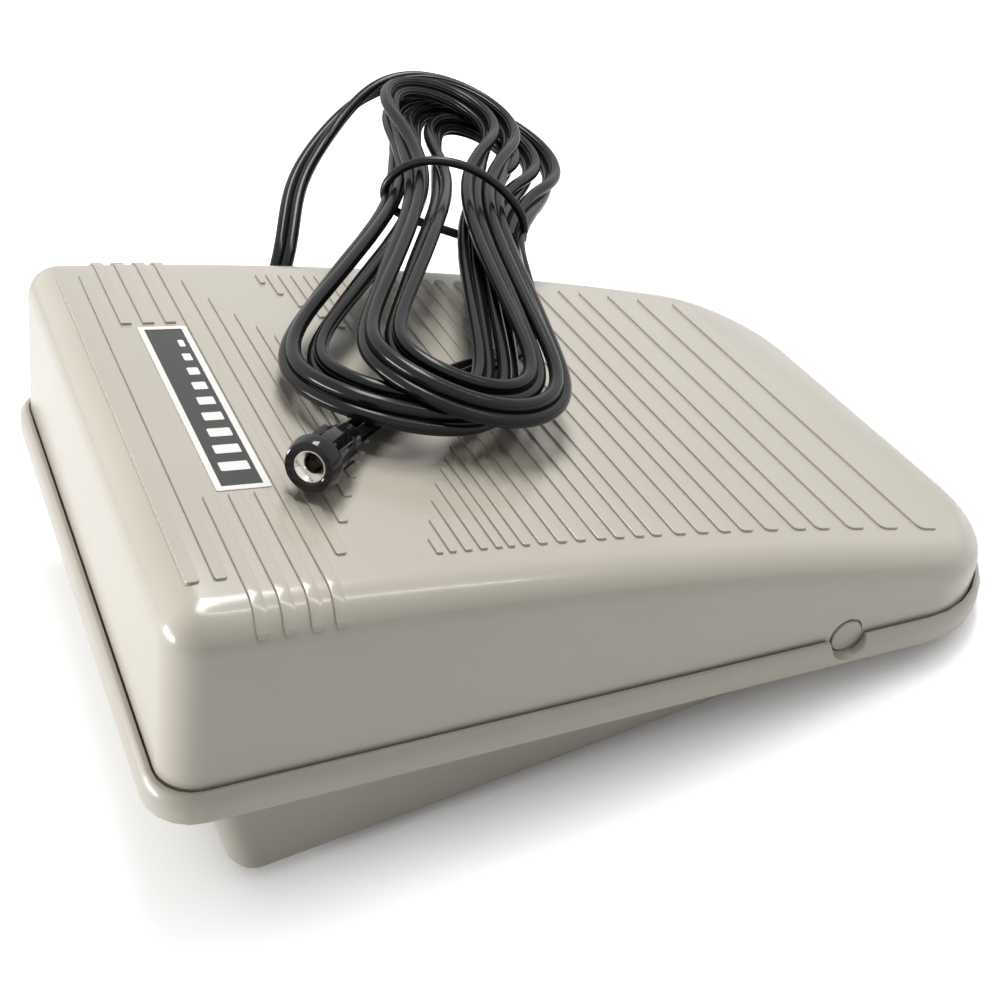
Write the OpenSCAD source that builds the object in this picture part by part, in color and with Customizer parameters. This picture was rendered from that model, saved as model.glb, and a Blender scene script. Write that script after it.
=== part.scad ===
// Foot pedal for a sewing machine: a ribbed treadle that rocks on two pins
// above a wedge-shaped tray, with a toothed sector that turns a potentiometer.
// Units: mm. Z is up, the toe end is at +Y and the heel end at -Y.

/* [Rim and treadle] */
// Length of the rim, along its own slope
rim_l = 202; // [198:1:206]
// Width of the rim
rim_w = 131; // [128:1:134]
// Height of the rim's band
rim_h = 6; // [5.5:0.1:6.5]
// Slope of the rim above the floor, degrees
slope = 9; // [8.5:0.1:9.5]
// Wall thickness of the treadle cover
wall = 2.3; // [2:0.1:2.4]
// Radius of the treadle's long top curve
crown_r = 1000; // [900:10:1100]
// Greatest height of the top above the rim
crown_h = 35.5; // [34:0.5:37]
// Radius of the cover's upper edge
edge_r = 7; // [5:0.5:8]

/* [Ribs] */
// Width of a tread rib as a share of the spacing there
rib_share = 0.52; // [0.45:0.01:0.6]
// Height of a tread rib
rib_h = 0.7; // [0.4:0.1:1]
// Half the length of a tread rib
rib_half = 52; // [50:1:53]

/* [Hinge] */
// Diameter of the hinge pins
pin_d = 5; // [4:0.5:6]
// Travel of the treadle, degrees
travel = 5; // [3:0.5:5]

/* [Tray] */
// Half width of the tray at the floor
tray_hw = 57.5; // [56:0.5:58]
// Wall thickness of the tray
tray_wall = 2.2; // [1.8:0.1:2.4]
// Height of the rubber feet
foot_h = 2.5; // [2:0.5:3]

/* [Cord] */
// Diameter of the cord (its two flat cores, taken as one round)
cord_d = 4; // [3.6:0.1:4.2]

/* [Hidden] */
$fn = 48;

// hinge axis, along X; the treadle is drawn in a frame (x, u, w) centred on it
pivot = [0, -44, 17];
// the rim runs from heel_u to toe_u along its slope
heel_u = -57;
toe_u = heel_u + rim_l;
toe_r = 9;
heel_r = 34;
crown_u = 178;
side_n = 10;
toe_n = 5;
heel_n = 8;
fit = 0.3;
rim_t = 2;
flange_t = rim_h - 4.3;
skirt_d = rim_t + fit;
rib_rows = [135.5, 131, 127, 122.5, 118, 114, 110, 106.5, 103, 100, 97.5, 95.5,
            93, 90.5, 87.5, 84.5, 81.5, 79, 76, 72.5, 68.5, 64.5, 60, 56, 51.5,
            47.5, 42, 36.5, 31, 25.5, 19, 11.5, 5, -4.5, -14.5, -26.5];
// rows that run over the rounded edges, counted from the toe
wrap_rows = [2, 3, 4, 5];
// the bare band between the two rib fields lies between two circles
band_c = [101, -26.6];
band_r = [131, 146];
// the plate lies between these rows
plate_u = [115.2, 125.4];
plate_half = 29;
plate_t = 0.8;

// drive: module and tooth counts on full circles; the sector's pitch radius is
// about the hinge, the pinion's centre beyond it
gear_m = 1;
sector_z = 120;
pinion_z = 10;
sector_r = gear_m * sector_z / 2;
pinion_r = gear_m * pinion_z / 2;
mesh_gap = 0.2;
pinion_y = pivot.y + sector_r + pinion_r + mesh_gap;

floor_z = foot_h + 2.5;
tray_y = [-86, 87.5];
tray_lean = [1.5, -3, 4];
tray_top_w = 1;

spring_xy = [42, 8];
spring_z = [12, 38];
buffer_xy = [48, 70];

PLASTIC = [0.72, 0.70, 0.66];
BLACK = [0.08, 0.08, 0.09];
STEEL = [0.72, 0.73, 0.75];

// height of the top surface above the rim plane at distance u along it
function top_w(u) = crown_h - (crown_u - u) * (crown_u - u) / (2 * crown_r);

// right half of a rounded outline, heel to toe: half width a, ends u0 and u1
function half_plan(a, u0, u1, rh, rt) = concat(
    [for (i = [0:heel_n]) let (t = -90 + 90 * i / heel_n)
        [a - rh + rh * cos(t), u0 + rh + rh * sin(t)]],
    [for (i = [1:side_n - 1]) [a, u0 + rh + (u1 - rt - u0 - rh) * i / side_n]],
    [for (i = [0:toe_n]) let (t = 90 * i / toe_n)
        [a - rt + rt * cos(t), u1 - rt + rt * sin(t)]]);

function mirrored(h) = concat(h, [for (i = [len(h) - 1:-1:0]) [-h[i].x, h[i].y]]);

// the rim's outline drawn in by d
function plan(d) = mirrored(half_plan(rim_w / 2 - d, heel_u + d, toe_u - d,
                                      max(heel_r - d, 1), max(toe_r - d, 1)));

// a ring of the cover: the outline drawn in by d, at a drop below the top
function under_top(d, drop) = [for (p = plan(d)) [p.x, p.y, top_w(p.y) - drop]];
function at_level(d, w) = [for (p = plan(d)) [p.x, p.y, w]];

// skin through rings of n points; the ends are closed by strips across, or the
// last ring is joined to the first
module skin(rings, looped = false) {
    n = len(rings[0]);
    k = len(rings);
    m = n / 2;
    last = (k - 1) * n;
    quads = [for (r = [0:looped ? k - 1 : k - 2], i = [0:n - 1])
        let (a = r * n, e = ((r + 1) % k) * n, j = (i + 1) % n)
        each [[e + i, a + i, a + j], [e + i, a + j, e + j]]];
    caps = looped ? [] : [for (j = [0:m - 2])
        each [[j, n - 1 - j, n - 2 - j], [j, n - 2 - j, j + 1],
              [last + j, last + j + 1, last + n - 2 - j],
              [last + j, last + n - 2 - j, last + n - 1 - j]]];
    polyhedron([for (r = rings) each r], concat(quads, caps), convexity = 8);
}

module in_treadle() {
    translate(pivot) rotate([slope, 0, 0]) children();
}

module both_sides() {
    children();
    mirror([1, 0, 0]) children();
}

// skin through the places of a flat profile carried along a path; up is the
// profile's second axis at the start and is carried on without twist
function unit(v) = v / norm(v);
function heading(p, i) = unit(p[min(i + 1, len(p) - 1)] - p[max(i - 1, 0)]);
function level(v, t) = unit(v - (v * t) * t);
function carried(p, up) = [for (i = 0, v = level(up, heading(p, 0)); i < len(p);
    i = i + 1, v = i < len(p) ? level(v, heading(p, i)) : v) v];

module sweep(path, profile, up) {
    n = len(profile);
    ups = carried(path, up);
    rings = [for (i = [0:len(path) - 1])
        let (b = ups[i], a = cross(b, heading(path, i)))
        [for (q = profile) path[i] + q.x * a + q.y * b]];
    last = (len(path) - 1) * n;
    polyhedron([for (r = rings) each r], concat(
        [[for (j = [0:n - 1]) j]],
        [for (r = [0:len(path) - 2], j = [0:n - 1])
            let (a = r * n, e = a + n, k = (j + 1) % n)
            each [[a + j, e + j, e + k], [a + j, e + k, a + k]]],
        [[for (j = [n - 1:-1:0]) last + j]]), convexity = 20);
}

function polygon_of(d, n) = [for (j = [0:n - 1]) d / 2 * [cos(360 * (j + 0.5) / n),
                                                        sin(360 * (j + 0.5) / n)]];

// smooth curve through route points, k steps from each to the next
function smooth(r, k) = concat([for (i = [0:len(r) - 2], j = [0:k - 1])
    let (a = r[max(i - 1, 0)], b = r[i], c = r[i + 1], e = r[min(i + 2, len(r) - 1)], t = j / k)
    b + t * (c - a) / 2 + t * t * (a - 2.5 * b + 2 * c - e / 2)
      + t * t * t * (1.5 * (b - c) + (e - a) / 2)], [r[len(r) - 1]]);

// ---- treadle ----

// rings of the cover from the middle of its top, over the edge, down the skirt,
// and back up inside
function cover_rings() = concat(
    [for (i = [5:-1:0]) let (t = 90 * i / 5)
        under_top(skirt_d + 0.8 + edge_r * (1 - cos(t)), edge_r * (1 - sin(t)))],
    [at_level(skirt_d, -rim_h + flange_t), at_level(skirt_d + wall, -rim_h + flange_t)],
    [for (i = [0:3]) let (t = 30 * i)
        under_top(skirt_d + wall + 0.8 + (edge_r - wall) * (1 - cos(t)),
                  wall + 0.2 + (edge_r - wall) * (1 - sin(t)))]);

// where a circle of radius r about band_c crosses the row at u
function band_x(u, r) = abs(u - band_c.y) >= r ? rib_half
    : band_c.x - sqrt(r * r - (u - band_c.y) * (u - band_c.y));

// width of rib row i, a share of the spacing to its neighbours
function row_w(i) = let (a = max(i - 1, 0), b = min(i + 1, len(rib_rows) - 1))
    rib_share * (rib_rows[a] - rib_rows[b]) / (b - a);

// the surface of the treadle's top at distance u, with the rib frame's X across
module on_top(u) translate([0, u, top_w(u)]) rotate([atan((crown_u - u) / crown_r), 0, 0])
    children();

module rib(i, x0, x1, round_end = false) on_top(rib_rows[i]) {
    w = row_w(i);
    translate([x0, -w / 2, -1]) cube([x1 - x0, w, 1 + rib_h]);
    if (round_end) translate([x0, 0, -1]) cylinder(d = w, h = 1 + rib_h);
}

edge_x = rim_w / 2 - skirt_d - 0.8 - edge_r;

module tread_ribs() for (i = [0:len(rib_rows) - 1]) {
    u = rib_rows[i];
    inner = min(band_x(u, band_r[1]), rib_half);
    outer = band_x(u, band_r[0]);
    end = len(search(i, wrap_rows)) > 0 ? edge_x : rib_half;
    if (u > plate_u[0] && u < plate_u[1] + 3)
        both_sides() rib(i, plate_half + 2.5, end, true);
    else if (outer <= 0 || inner >= rib_half)
        rib(i, -end, end);
    else {
        if (inner > 1.5) rib(i, -inner, inner);
        if (outer < rib_half - 1.5) both_sides() rib(i, outer, rib_half);
    }
}

// four rows run on over the rounded side edges
module wrapped_ribs() for (i = wrap_rows) both_sides() on_top(rib_rows[i])
    translate([edge_x, row_w(i) / 2, -edge_r]) rotate([90, 0, 0])
        linear_extrude(row_w(i)) intersection() {
            difference() {
                circle(edge_r + rib_h);
                circle(edge_r - 1);
            }
            square([3.8, edge_r + 2]);
        }

module cover_post(x, u, d, w0) {
    translate([x, u, w0]) cylinder(d = d, h = top_w(u) - w0 - wall / 2);
}

// place in the treadle's frame of a point of the tray's frame
function to_treadle(p) = let (dy = p.y - pivot.y, dz = p.z - pivot.z)
    [p.x, dy * cos(slope) + dz * sin(slope), -dy * sin(slope) + dz * cos(slope)];

spring_top = to_treadle([spring_xy.x, spring_xy.y, spring_z[1]]);
buffer_top = 27;
// the posts stop short of the buffers by the treadle's travel there
buffer_post = to_treadle([buffer_xy.x, buffer_xy.y,
    buffer_top + (buffer_xy.y - pivot.y) * sin(travel) + 0.7]);
sector_u = [46, 58];
sector_top = 22;
sector_posts = [[-11, 52], [7, 52]];
rim_posts = [[-30, -50.5], [0, -50.5], [30, -50.5]];
rim_post_h = 5.8;

module treadle_cover() color(PLASTIC) difference() {
    union() {
        in_treadle() {
            skin(cover_rings());
            tread_ribs();
            wrapped_ribs();
            both_sides() {
                translate([rim_w / 2 - skirt_d - wall - 1.3, 0, 0]) rotate([0, 90, 0])
                    cylinder(d = pin_d + 3.4, h = 2.5);
                cover_post(buffer_post.x, buffer_post.y, 8, buffer_post.z);
            }
            for (p = sector_posts) cover_post(p.x, p.y, 7, sector_top);
            for (p = rim_posts) translate([p.x, p.y, -rim_h + flange_t])
                cylinder(d = 7, h = rim_post_h);
        }
        // spring posts, their ends cut level with the floor
        difference() {
            in_treadle() both_sides() cover_post(spring_top.x, spring_top.y, 16, 8);
            translate([-70, spring_xy.y - 20, spring_z[1] - 20]) cube([140, 40, 20]);
        }
        both_sides() translate([spring_xy.x, spring_xy.y, spring_z[1] - 3])
            cylinder(d = 9.8, h = 4);
    }
    in_treadle() {
        // hinge bores, and the recesses that take the pin heads
        both_sides() {
            translate([50, 0, 0]) rotate([0, 90, 0]) cylinder(d = pin_d + 0.1, h = 20);
            translate([rim_w / 2 - skirt_d - 1, 0, 0]) rotate([0, 90, 0])
                cylinder(d = 8.6, h = 5);
        }
        for (p = sector_posts) translate([p.x, p.y, sector_top - 1]) cylinder(d = 2.4, h = 4);
        for (p = rim_posts) translate([p.x, p.y, -rim_h]) cylinder(d = 2.4, h = 8);
        plate_block(0, plate_t, 0.5);
    }
}

plate_mid = (plate_u[0] + plate_u[1]) / 2;

// a flat block over the plate's place: drawn in by a, from depth up to height
module plate_block(a, depth, height) on_top(plate_mid)
    translate([-plate_half + a, (plate_u[0] - plate_u[1]) / 2 + a, -depth])
        cube([2 * (plate_half - a), plate_u[1] - plate_u[0] - 2 * a, depth + height]);

// bare plate: a raised border round a sunk field
module plate() color([0.2, 0.2, 0.22]) in_treadle() difference() {
    plate_block(0.15, plate_t, 0.1);
    plate_block(1.8, 0.3, 1);
}

rim_section = [[2, 0], [1.2, -0.2], [0.5, -1.1], [0.1, -2.2], [0, -3.2],
               [0, -5.7], [0.3, -6], [4.6, -6], [4.6, -4.3], [2, -4.3]];

module rim() color(PLASTIC) in_treadle() difference() {
    union() {
        skin([for (p = rim_section) at_level(p.x, p.y * rim_h / 6)], looped = true);
        // tongues under the tray's hooks, and ears for the rim screws
        both_sides() translate([19, toe_u - 7, -rim_h]) cube([14, 3, flange_t]);
        for (p = rim_posts) translate([p.x, p.y, -rim_h]) cylinder(d = 8, h = flange_t);
    }
    // scoop round the pin heads
    both_sides() translate([rim_w / 2 - 2.2, 0, 0]) rotate([0, 90, 0])
        cylinder(d = 9.6, h = 5);
    for (p = rim_posts) translate([p.x, p.y, -rim_h - 1]) cylinder(d = 3, h = 4);
    for (p = rim_posts) translate([p.x, p.y, -rim_h - 1]) cylinder(d = 5.4, h = 2);
}

module rim_screws() color(STEEL) in_treadle() for (p = rim_posts)
    translate([p.x, p.y, -rim_h + 0.1]) {
        cylinder(d = 5, h = 0.85);
        cylinder(d = 2.36, h = 7);
    }

// a ring of gear teeth between angles a0 and a1, thickness h along Z, on radius r
module teeth(r, n, a0, count, h) {
    step = 360 / n;
    tip = 0.62 * gear_m;
    root = 1.7 * gear_m;
    for (i = [0:count - 1]) rotate(a0 + i * step)
        linear_extrude(h) polygon([[r - 1.4 * gear_m, -root / 2], [r + 0.85 * gear_m, -tip / 2],
            [r + 0.85 * gear_m, tip / 2], [r - 1.4 * gear_m, root / 2]]);
}

// the sector hangs from a flange under the cover; its teeth face the toe end
module drive_sector() color([0.9, 0.9, 0.86]) in_treadle() difference() {
    union() {
        translate([-15, sector_u[0], sector_top - 3]) cube([26, sector_u[1] - sector_u[0], 3]);
        translate([-5.5, 0, 0]) rotate([90, 0, 90]) {
            linear_extrude(4) {
                polygon([[47, sector_top - 1], [57.5, sector_top - 1], [57.6, 2],
                         [54, -6], [50, -4], [49, 8]]);
                intersection() {
                    difference() {
                        circle(sector_r - 1.2 * gear_m, $fn = 180);
                        circle(sector_r - 8, $fn = 180);
                    }
                    polygon([[0, 0], [80 * cos(-14.5), 80 * sin(-14.5)], [80, 0],
                             [80 * cos(2.5), 80 * sin(2.5)]]);
                }
            }
            teeth(sector_r, sector_z, -slope - 4.5, 6, 4);
        }
    }
    for (p = sector_posts) translate([p.x, p.y, sector_top - 4]) cylinder(d = 3, h = 5);
}

module sector_screws() color(STEEL) in_treadle() for (p = sector_posts)
    translate([p.x, p.y, sector_top - 5]) {
        cylinder(d = 5.4, h = 2);
        cylinder(d = 2.36, h = 7.5);
    }

module pot_spindle() color(STEEL) translate([-6.5, pinion_y, pivot.z]) rotate([0, 90, 0])
    cylinder(d = 4, h = 16);

module pinion() color([0.85, 0.85, 0.8]) translate([-6, pinion_y, pivot.z])
    rotate([90, 0, 90]) difference() {
        union() {
            cylinder(r = pinion_r - 1.15 * gear_m, h = 5);
            teeth(pinion_r, pinion_z, 0, pinion_z, 5);
        }
        translate([0, 0, -1]) cylinder(d = 3.96, h = 7);
    }

// ---- tray ----

// the tray's outline at the floor drawn in by d, and at its upper edge, which
// lies in the rim's slope
function tray_ring(d, z) = [for (p = mirrored(half_plan(tray_hw - d, tray_y[0] + d,
    tray_y[1] - d, 26 - d, 5.5 - min(d, 4)))) [p.x, p.y, z]];
function tray_top(d) = [for (p = mirrored(half_plan(tray_hw + tray_lean[0] - d,
    tray_y[0] + tray_lean[1] + d, tray_y[1] + tray_lean[2] - d, 26 - d, 5.5 - min(d, 4))))
    [p.x, p.y, pivot.z + tray_top_w / cos(slope) + (p.y - pivot.y) * tan(slope)]];

board_o = [9, 31];
board_s = [34, 48];
board_z = 8.5;
board_posts = [for (x = [3, board_s.x - 3], y = [3, board_s.y - 3]) board_o + [x, y]];
bracket_x = 2.6;
foot_z = floor_z + 1;
gland = [58, 46, 11];
clamp_x = 50;
board_t = 1.6;
top_z = board_z + board_t;

module tray_post(x, y, d, z1) translate([x, y, floor_z - 1]) cylinder(d = d, h = z1 - floor_z + 1);

// rings of the tray: inner floor, up the inside, over the edge, down and under
function tray_rings() = [
    tray_ring(tray_wall + 3, floor_z), tray_ring(tray_wall + 0.8, floor_z + 0.8),
    tray_ring(tray_wall, floor_z + 3), tray_top(tray_wall), tray_top(0),
    tray_ring(0, foot_h + 3), tray_ring(0.9, foot_h + 0.9), tray_ring(3, foot_h)];

module base_tray() color([0.55, 0.54, 0.51]) difference() {
    union() {
        skin(tray_rings());
        both_sides() {
            // ears for the hinge pins
            translate([52.5, pivot.y, pivot.z]) rotate([0, 90, 0]) cylinder(d = 12, h = 6.4);
            translate([52.5, pivot.y - 6, floor_z - 1]) cube([3.6, 12, pivot.z - floor_z + 1]);
            tray_post(spring_xy.x, spring_xy.y, 17, spring_z[0]);
            tray_post(spring_xy.x, spring_xy.y, 10, spring_z[0] + 4);
            tray_post(buffer_xy.x, buffer_xy.y, 9, buffer_top - 3);
            // hooks over the rim's tongues
            in_treadle() translate([20, toe_u - 10.2, -rim_h + flange_t + fit])
                cube([12, 4.5, 2.6]);
        }
        for (p = board_posts) tray_post(p.x, p.y, 6, board_z);
        for (y = [-5.5, 5.5]) tray_post(bracket_x + 7, pinion_y + y, 6, foot_z);
        for (y = [-8, 8]) tray_post(clamp_x, gland.y + y, 6, gland.z + cord_d / 2 - 0.2);
        translate([clamp_x - 4, gland.y - 5, floor_z - 1])
            cube([7, 10, gland.z - cord_d / 2 - floor_z + 1]);
        // stiffening ribs across the floor
        for (y = [-62, -25]) translate([-50, y, floor_z - 1]) cube([100, 2, 4]);
        translate([-20, -60, floor_z - 1]) cube([2, 130, 4]);
    }
    both_sides() translate([50, pivot.y, pivot.z]) rotate([0, 90, 0])
        cylinder(d = pin_d - 0.04, h = 20);
    translate([54, gland.y, gland.z]) rotate([0, 90, 0]) cylinder(d = 8.2, h = 8);
    for (p = board_posts) translate([p.x, p.y, floor_z]) cylinder(d = 2.4, h = 10);
    for (y = [-8, 8]) translate([clamp_x, gland.y + y, floor_z]) cylinder(d = 2.4, h = 10);
    for (y = [-5.5, 5.5]) translate([bracket_x + 7, pinion_y + y, floor_z - 1])
        cylinder(d = 2.4, h = 10);
}

module rubber_feet() color(BLACK) both_sides() for (y = [-62, 66])
    translate([44, y, 0]) {
        cylinder(d = 11, h = foot_h);
        translate([0, 0, 0.6]) cylinder(d = 12, h = 1);
    }

module pivot_pins() color(PLASTIC) both_sides() translate([0, pivot.y, pivot.z])
    rotate([0, 90, 0]) {
        translate([0, 0, 52.6]) cylinder(d = pin_d, h = rim_w / 2 - skirt_d - 1 - 52.6 + 0.2);
        translate([0, 0, rim_w / 2 - skirt_d - 0.8]) cylinder(d = 7.4, h = 2.1);
    }

spring_r = 6.2;
spring_wire = 1.3;
spring_turns = 5;

// coil spring with both ends ground flat
module coil_spring() {
    h = spring_z[1] - spring_z[0];
    lift = (h - spring_wire) / spring_turns;
    n = spring_turns * 12;
    sweep([for (i = [0:n]) let (t = 30 * i)
            [spring_r * cos(t), spring_r * sin(t), spring_wire / 2 + lift * t / 360]],
          [for (a = [30:60:330]) spring_wire / 2 * [cos(a), sin(a)]], [0, 0, 1]);
}

module spring_left() color(STEEL)
    translate([-spring_xy.x, spring_xy.y, spring_z[0]]) coil_spring();

module spring_right() color(STEEL)
    translate([spring_xy.x, spring_xy.y, spring_z[0]]) coil_spring();

module stop_buffers() color(BLACK) both_sides()
    translate([buffer_xy.x, buffer_xy.y, buffer_top - 3]) cylinder(d = 9, h = 3);

// ---- electrical parts ----

module on_board(x, y) translate([board_o.x + x, board_o.y + y, top_z]) children();

module circuit_board() color([0.75, 0.6, 0.35]) difference() {
    translate([board_o.x, board_o.y, board_z]) cube([board_s.x, board_s.y, board_t]);
    for (p = board_posts) translate([p.x, p.y, board_z - 1]) cylinder(d = 3, h = 4);
}

module pan_screw(d_head, h_head, d, reach) {
    cylinder(d = d_head, h = h_head);
    translate([0, 0, -reach]) cylinder(d = d, h = reach + 0.2);
}

module board_screws() color(STEEL) for (p = board_posts)
    translate([p.x, p.y, top_z]) pan_screw(5, 1.5, 2.36, 4.5);

module heat_sink() color([0.8, 0.8, 0.82]) on_board(8, 35) {
    cube([18, 2, 14]);
    for (x = [0:4:16]) translate([x, 1, 0]) cube([2, 8, 14]);
}

module triac() color([0.15, 0.15, 0.16]) on_board(12, 30.4) {
    translate([0, 0, 3]) cube([10, 4.6, 9]);
    for (x = [1.7, 4.5, 7.3]) translate([x, 2, 0]) cube([0.9, 0.8, 3.2]);
}

module film_capacitor() color([0.75, 0.3, 0.15]) on_board(7, 18) cube([18, 8, 13]);

module choke_coil() color([0.75, 0.4, 0.15]) on_board(9.5, 9) translate([0, 0, 3.6]) {
    rotate_extrude() translate([4.6, 0]) square([3.2, 3.4], center = true);
    for (a = [20, 200]) rotate(a) rotate_extrude(angle = 140) translate([4.6, 0]) circle(d = 5);
    for (a = [0, 180]) rotate(a) translate([4.6, 0, -3.6]) cylinder(d = 0.9, h = 3);
}

module resistors() color([0.6, 0.7, 0.75]) for (k = [0:2]) on_board(18.3 + 3.05 * k, 6) {
    translate([0, 6.5, 2]) rotate([90, 0, 0]) cylinder(d = 2.4, h = 6.5);
    for (y = [-1.4, 7.9]) translate([0, y, 0]) cylinder(d = 0.7, h = 2.3);
    translate([0, 8, 2]) rotate([90, 0, 0]) cylinder(d = 0.6, h = 9.5);
}

module terminal_block() color([0.2, 0.45, 0.3]) on_board(26.5, 9) difference() {
    cube([7.5, 11, 9]);
    for (y = [3, 8]) {
        translate([4, y, 3.5]) cylinder(d = 3, h = 6);
        translate([4, y - 1.3, 2]) cube([5, 2.6, 2.6]);
    }
}

module pot_bracket() color(STEEL) difference() {
    union() {
        translate([bracket_x, pinion_y - 9, foot_z]) cube([1.5, 18, 20]);
        translate([bracket_x, pinion_y - 9, foot_z]) cube([10.5, 18, 1.4]);
    }
    translate([0, pinion_y, pivot.z]) rotate([0, 90, 0]) cylinder(d = 7.1, h = 8);
    for (y = [-5.5, 5.5]) translate([bracket_x + 7, pinion_y + y, foot_z - 1])
        cylinder(d = 3, h = 4);
}

module bracket_screws() color(STEEL) for (y = [-5.5, 5.5])
    translate([bracket_x + 7, pinion_y + y, foot_z + 1.4]) pan_screw(4.6, 0.9, 2.36, 3);

module potentiometer() color([0.3, 0.32, 0.36]) translate([0, pinion_y, pivot.z]) difference() {
    rotate([0, 90, 0]) {
        translate([0, 0, bracket_x + 1.5]) cylinder(d = 16, h = 7.5);
        translate([0, 0, 0.2]) cylinder(d = 7, h = 6);
        translate([0, 0, bracket_x - 2]) cylinder(d = 10.5, h = 2, $fn = 6);
    }
    translate([-1, 0, 0]) rotate([0, 90, 0]) cylinder(d = 4.1, h = 11);
}

// tinned ends of the cord's two cores, and three leads from the potentiometer
module inner_leads() color([0.6, 0.15, 0.12]) {
    for (s = [-1, 1]) translate([board_o.x + 34.05, board_o.y + 14.5 + 2.5 * s, top_z + 3.3])
        rotate([0, 90, 0]) cylinder(d = 1.6, h = 2.2);
    for (x = [6, 8, 10]) translate([x, pinion_y + 8.05, pivot.z]) rotate([-90, 0, 0])
        cylinder(d = 1, h = 5);
}

module cord_clamp() color([0.6, 0.6, 0.58]) difference() {
    translate([clamp_x - 3, gland.y - 11, gland.z + cord_d / 2]) cube([6, 22, 2]);
    for (y = [-8, 8]) translate([clamp_x, gland.y + y, gland.z]) cylinder(d = 3, h = 5);
}

module clamp_screws() color(STEEL) for (y = [-8, 8])
    translate([clamp_x, gland.y + y, gland.z + cord_d / 2 + 2]) pan_screw(5, 1.5, 2.36, 6);

module strain_relief() color(BLACK) translate([0, gland.y, gland.z]) rotate([0, 90, 0])
    difference() {
        union() {
            translate([0, 0, gland.x - 4.8]) cylinder(d = 9.6, h = 1.2);
            translate([0, 0, gland.x - 4]) cylinder(d = 8.1, h = 5);
            translate([0, 0, gland.x + 0.5]) cylinder(d = 11, h = 1.5);
            translate([0, 0, gland.x + 1.9]) cylinder(d1 = 9, d2 = 7.2, h = 20);
        }
        translate([0, 0, gland.x - 5]) cylinder(d = cord_d, h = 30);
    }

// ---- cord ----

// The hank lies on the treadle: two lobes joined by a narrow waist, where it is
// tied. One unbroken strand spirals in through the lower layer, climbs at the
// waist, and spirals out again in the upper one.
hank_o = [55, -6];
hank_turn = -26.6;
waist_w = 12.75;
waist_r = 40;
// the near lobe lies on the treadle, the far one reaches over its edge:
// distance of its centre from the waist, and radius
near_lobe = [-67, 25];
far_lobe = [40, 22];
strand_d = 4.3;
strand_step = 5.1;
layer_step = 5.5;
layer_skew = [-5, 5];
hank_first = -6;
hank_last = 96;
climb = 54;

function flank(l) = let (h = waist_w + waist_r)
    asin((l[1] + waist_r) / norm([l[0], h])) - atan(h / abs(l[0]));

// direction of the outline's normal at each of a loop's 24 stations
function station(j) = let (f = flank(far_lobe), n = flank(near_lobe),
        wf = (90 + f) / 4, wn = (90 + n) / 4)
    j <= 4 ? wf * j : j <= 6 ? 90 + f * (6 - j) : j == 7 ? 90 - n
    : j <= 16 ? 90 - n + wn * (j - 8) : j == 17 ? 270 + n
    : j <= 19 ? 270 - f * (j - 18) : 270 - f + wf * (j - 20);

// outline of the hank drawn in by s, at station j
function outline(j, s) = let (a = station(j), n = [cos(a), sin(a)],
        l = j <= 4 || j >= 20 ? far_lobe : near_lobe)
    j > 4 && j < 8 || j > 16 && j < 20
        ? [0, (j < 12 ? 1 : -1) * (waist_w + waist_r)] - (waist_r + s) * n
        : [l[0], 0] + (l[1] - s) * n;

// height of the ribbed top at y, and of the strand above it
function top_z(y) = 52.2 + 0.2915 * y - 0.00058 * y * y;
function hank_z(x, y) = top_z(y) + 8.6 + 0.16 * max(0, x);

// the near lobe lies over the plug's end, and sinks to the treadle on both sides of it
lobe_sink = 4;
function ease(t) = let (c = min(1, max(0, t))) c * c * (3 - 2 * c);
function sink(q) = lobe_sink * ease((-32 - q.x) / 22)
    * ease((abs((q.x + 94) * 0.481 + (q.y - 14) * 0.877) - 5) / 22);

function hank_pt(i) = let (
        inward = i <= climb ? i / 24 : (2 * climb - i) / 24,
        p = outline((i + 24) % 24, strand_step * inward),
        k = p.x == 0 ? 0 : i <= climb ? layer_skew[0] : layer_skew[1],
        q = [p.x * cos(k) - p.y * sin(k), p.x * sin(k) + p.y * cos(k)],
        x = hank_o.x + q.x * cos(hank_turn) - q.y * sin(hank_turn),
        y = hank_o.y + q.x * sin(hank_turn) + q.y * cos(hank_turn),
        up = i < climb ? 0 : i == climb ? 0.5 : 1)
    [x, y, hank_z(x, y) - sink(q) + layer_step * up];

hank_path = [for (i = [hank_first:hank_last]) hank_pt(i)];

// least distance between two stretches ab and cd
function seg_gap(a, b, c, d) = let (u = b - a, v = d - c, w = a - c,
        uu = u * u, uv = u * v, vv = v * v, uw = u * w, vw = v * w,
        den = max(uu * vv - uv * uv, 1e-6),
        s0 = min(1, max(0, (uv * vw - vv * uw) / den)),
        t = min(1, max(0, (uv * s0 + vw) / vv)),
        s1 = min(1, max(0, (uv * t - uw) / uu)))
    norm(w + s1 * u - t * v);

echo(hank_least_gap = min([for (i = [0:len(hank_path) - 6], j = [i + 5:len(hank_path) - 2])
    seg_gap(hank_path[i], hank_path[i + 1], hank_path[j], hank_path[j + 1])]) - strand_d);

// route of the pedal's end, from inside the tray out to the hank
tail_route = [[45, 46, 11], [52, 46, 11], [60, 46, 11], [70, 46, 11], [79, 46, 11],
              [82, 46, 11], [92, 47, 8.5], [102, 51, 4], [109, 60, 2.6], [104, 71, 2.6],
              [92, 75, 3], [81, 70, 5], [75, 61, 11], [71.5, 51, 22], [70.5, 42, 34],
              [72, 34, 46], [78, 28, 54], [87, 24, 58.5], [98, 18, 62], [107, 8, 66.5],
              [113, -3, 72.5]];
tail_join = hank_path[len(hank_path) - 1];
tail_dir = unit([-sin(hank_turn + layer_skew[1]), cos(hank_turn + layer_skew[1]), 0.12]);

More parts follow.
